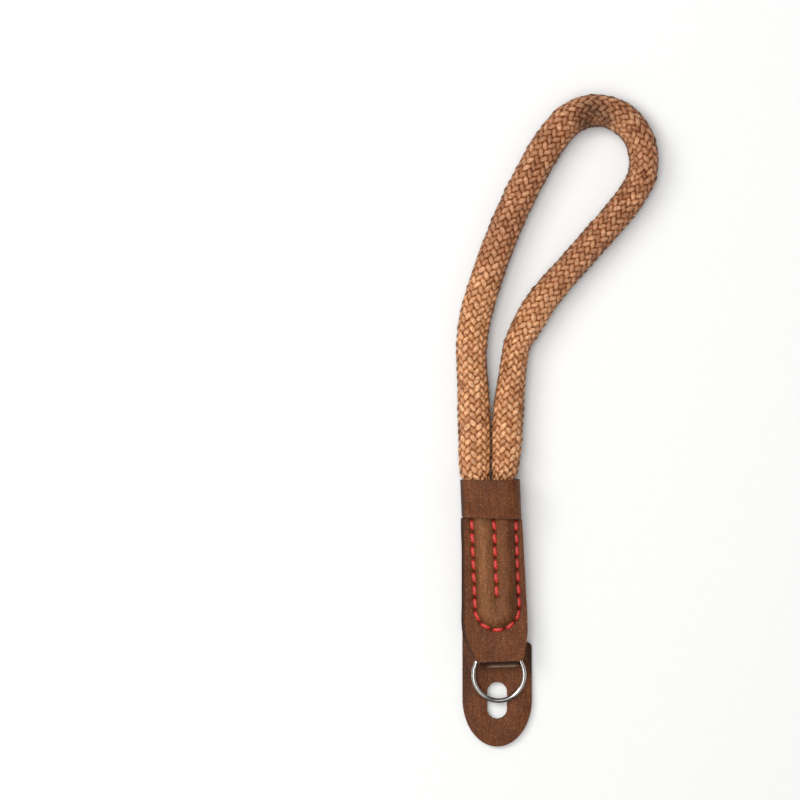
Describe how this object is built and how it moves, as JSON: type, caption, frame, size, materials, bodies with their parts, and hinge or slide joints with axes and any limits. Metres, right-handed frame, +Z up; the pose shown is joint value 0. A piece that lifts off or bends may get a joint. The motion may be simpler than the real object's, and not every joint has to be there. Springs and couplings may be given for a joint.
{
  "type": "camera wrist strap",
  "caption": "Wrist strap for a camera: a closed loop of braided rope sewn between leather panels, with a keeper band, a swinging D-ring and a slotted leather guard pad.",
  "frame": {"origin": "on the surface that the strap lies on, under the middle of the box round its leather body, guard pad and ring, the rope left out", "axes": "+Y from the ring along the leather body towards the loop of rope, +Z up from the surface to the sewn front face, +X to the right seen from above; the D-ring's bar lies along X"},
  "size_m": [0.0759, 0.227, 0.014],
  "materials": {
    "rope": "braided polyester",
    "leather": "oiled full grain",
    "ring_steel": "nickel plated wire",
    "thread": "waxed thread"
  },
  "bodies": {
    "strap": {"rope_loop": "rope", "front_panel": "leather", "back_panel": "leather", "keeper_band": "leather", "guard_pad": "leather"},
    "ring": {"d_ring": "ring_steel"}
  },
  "joints": [
    {"name": "ring_swing", "type": "hinge", "parent": "strap", "child": "ring", "pos_m": [0.0005, -0.0167, 0.0048], "axis": [-1, 0, 0], "range_deg": [0, 70]}
  ]
}
